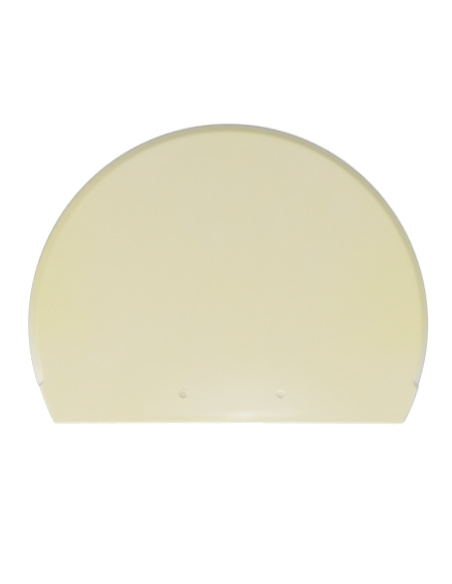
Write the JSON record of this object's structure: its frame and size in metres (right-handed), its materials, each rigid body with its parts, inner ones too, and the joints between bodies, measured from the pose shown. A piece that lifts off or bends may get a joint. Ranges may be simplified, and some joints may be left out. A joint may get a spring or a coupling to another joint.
{
  "type": "bowl scraper",
  "caption": "Flat moulded plastic bowl scraper: a large scraping arc with a thin bevelled lip, thick rounded flanks and a straight base edge to grip.",
  "frame": {"origin": "middle of the part's box at its flat underside, which is the face it rests on", "axes": "+Z out of the bevelled face, +Y from the straight base edge to the top of the scraping arc, +X to the right as seen from above"},
  "size_m": [0.198, 0.1484, 0.0025],
  "materials": {
    "blade_plastic": "satin natural polyolefin, pale cream and faintly translucent, with a lightly polished mould finish"
  },
  "bodies": {
    "root": {"scraper_blade": "blade_plastic"}
  },
  "joints": []
}
